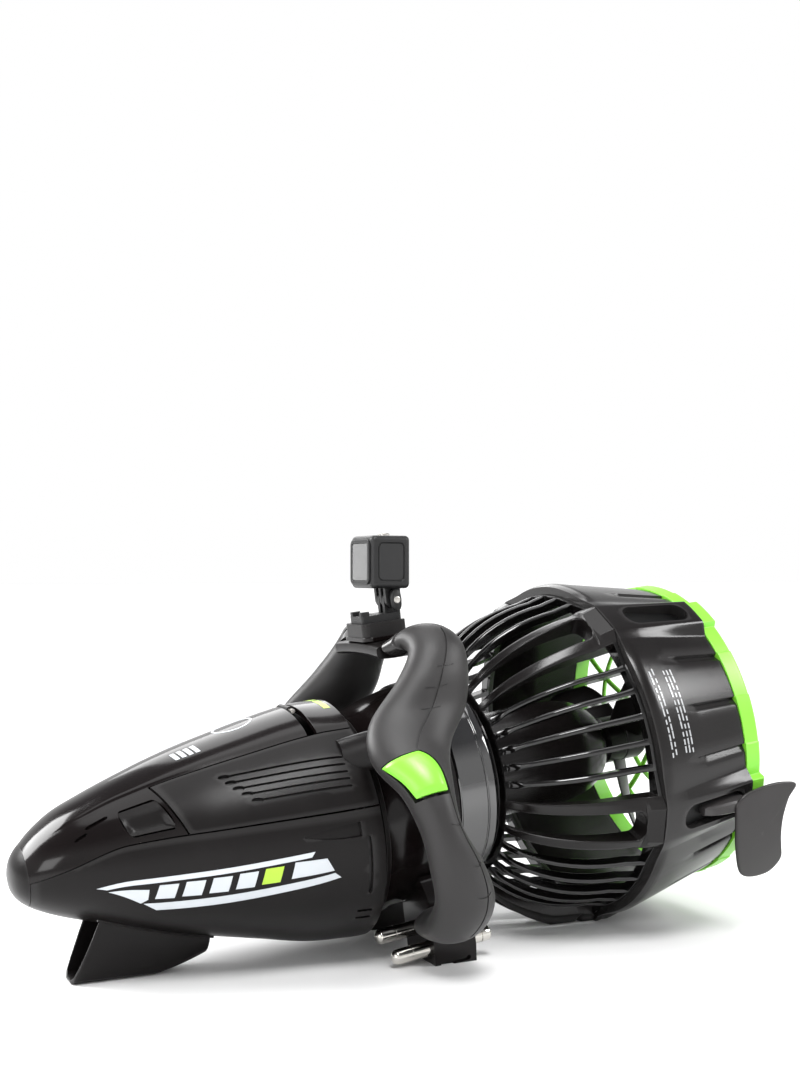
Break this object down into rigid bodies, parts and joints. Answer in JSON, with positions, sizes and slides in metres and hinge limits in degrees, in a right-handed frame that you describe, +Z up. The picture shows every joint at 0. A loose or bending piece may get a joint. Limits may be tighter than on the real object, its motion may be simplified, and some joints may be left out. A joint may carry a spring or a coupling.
{
  "type": "underwater_scooter",
  "caption": "Underwater scooter: bullet-shaped battery hull with hatch, caged ducted propeller, twin trigger grips with a top bridge, ballast rods and a tilting action camera.",
  "frame": {"origin": "centre of the bounding box's bottom face", "axes": "+X forward to the nose, +Y to port, +Z up from the floor it rests on"},
  "size_m": [0.6286, 0.3192, 0.342],
  "materials": {
    "hull_satin": "satin charcoal moulded shell",
    "spine_gloss": "glossy black cover",
    "grip_rubber": "soft dark grey grip skin",
    "cage_gloss": "glossy black ribbed cage",
    "lime": "lime green",
    "steel": "bare steel",
    "rod_steel": "polished steel",
    "alloy": "cast alloy case",
    "copper": "copper windings",
    "seal": "black rubber",
    "camera_dark": "dark grey camera plastic",
    "lens_silver": "pale glazed front plate",
    "pack": "sealed battery case"
  },
  "bodies": {
    "hull": {"ballast_block_port": "hull_satin", "ballast_block_starboard": "hull_satin", "battery_connector": "lime", "battery_pack": "pack", "bulkhead": "hull_satin", "duct_band": "hull_satin", "front_bearing": "steel", "grip_port": "grip_rubber", "grip_starboard": "grip_rubber", "handle_bridge": "hull_satin", "hatch_hinge_pin": "steel", "intake_cage": "cage_gloss", "lower_hull": "hull_satin", "motor_can": "cage_gloss", "motor_pod": "cage_gloss", "motor_stator": "copper", "mount_base": "hull_satin", "neck_shell": "hull_satin", "nose_skid": "hull_satin", "rear_bearing": "steel", "rear_guard": "lime", "rear_top_cover": "spine_gloss", "shaft_seal": "seal", "shoulder_bracket_port": "hull_satin", "shoulder_bracket_starboard": "hull_satin", "shoulder_panel_port": "hull_satin", "shoulder_panel_starboard": "hull_satin", "speed_controller": "alloy", "tail_fin_port": "hull_satin", "tail_fin_starboard": "hull_satin", "trigger_pin_port": "steel", "trigger_pin_starboard": "steel", "trigger_switch_port": "hull_satin", "trigger_switch_starboard": "hull_satin"},
    "rotor": {"motor_rotor": "steel", "propeller_shaft": "steel", "propeller": "cage_gloss", "propeller_nut": "cage_gloss"},
    "hatch": {"hatch_cover": "spine_gloss", "hatch_knuckle": "hull_satin", "hatch_seal": "seal"},
    "latch_port": {"latch_port": "hull_satin"},
    "latch_starboard": {"latch_starboard": "hull_satin"},
    "trigger_port": {"trigger_port": "lime"},
    "trigger_starboard": {"trigger_starboard": "lime"},
    "buckle": {"quick_release_buckle": "hull_satin", "thumbscrew_nut": "steel"},
    "camera": {"camera_case": "camera_dark", "lens_plate": "lens_silver"},
    "thumbscrew": {"thumbscrew": "steel"},
    "shutter": {"shutter_button": "steel"},
    "ballast_rod_port_1": {"ballast_rod_port_1": "rod_steel"},
    "ballast_rod_port_2": {"ballast_rod_port_2": "rod_steel"},
    "ballast_rod_starboard_1": {"ballast_rod_starboard_1": "rod_steel"},
    "ballast_rod_starboard_2": {"ballast_rod_starboard_2": "rod_steel"}
  },
  "joints": [
    {"name": "propeller_spin", "type": "hinge", "parent": "hull", "child": "rotor", "pos_m": [-0.17196, 0, 0.1508], "axis": [0.9919, 0, -0.1272], "continuous": true},
    {"name": "hatch_hinge", "type": "hinge", "parent": "hull", "child": "hatch", "pos_m": [0.09415, 0, 0.19752], "axis": [0, -1, 0], "range_deg": [0, 70]},
    {"name": "latch_port_hinge", "type": "hinge", "parent": "hatch", "child": "latch_port", "pos_m": [0.2291, 0.04328, 0.13337], "axis": [0.933, -0.1962, -0.3017], "range_deg": [0, 55]},
    {"name": "latch_starboard_hinge", "type": "hinge", "parent": "hatch", "child": "latch_starboard", "pos_m": [0.2291, -0.04328, 0.13337], "axis": [-0.933, -0.1962, 0.3017], "range_deg": [0, 55]},
    {"name": "trigger_port_press", "type": "hinge", "parent": "hull", "child": "trigger_port", "pos_m": [0.04081, 0.12614, 0.16604], "axis": [-0.8954, 0.2498, 0.3685], "range_deg": [0, 4.5], "stiffness_Nm_per_rad": 0.6, "springref_deg": -8.59},
    {"name": "trigger_starboard_press", "type": "hinge", "parent": "hull", "child": "trigger_starboard", "pos_m": [0.04081, -0.12614, 0.16604], "axis": [0.8954, 0.2498, -0.3685], "range_deg": [0, 4.5], "stiffness_Nm_per_rad": 0.6, "springref_deg": -8.59},
    {"name": "ballast_rod_port_1_slide", "type": "slide", "parent": "hull", "child": "ballast_rod_port_1", "axis": [0.9919, 0, -0.1272], "range_m": [0, 0.06]},
    {"name": "ballast_rod_port_2_slide", "type": "slide", "parent": "hull", "child": "ballast_rod_port_2", "axis": [0.9919, 0, -0.1272], "range_m": [0, 0.06]},
    {"name": "ballast_rod_starboard_1_slide", "type": "slide", "parent": "hull", "child": "ballast_rod_starboard_1", "axis": [0.9919, 0, -0.1272], "range_m": [0, 0.06]},
    {"name": "ballast_rod_starboard_2_slide", "type": "slide", "parent": "hull", "child": "ballast_rod_starboard_2", "axis": [0.9919, 0, -0.1272], "range_m": [0, 0.06]},
    {"name": "buckle_release", "type": "slide", "parent": "hull", "child": "buckle", "axis": [-0.9919, 0, 0.1272], "range_m": [0, 0.045]},
    {"name": "camera_tilt", "type": "hinge", "parent": "buckle", "child": "camera", "pos_m": [0.00169, 0, 0.28631], "axis": [0, -1, 0], "range_deg": [-40, 50]},
    {"name": "thumbscrew_turn", "type": "hinge", "parent": "buckle", "child": "thumbscrew", "pos_m": [0.00169, 0, 0.28631], "axis": [0, 1, 0], "continuous": true},
    {"name": "shutter_press", "type": "slide", "parent": "camera", "child": "shutter", "axis": [0, 0, -1], "range_m": [0, 0.0015], "stiffness_N_per_m": 250, "springref_m": -0.0008}
  ]
}
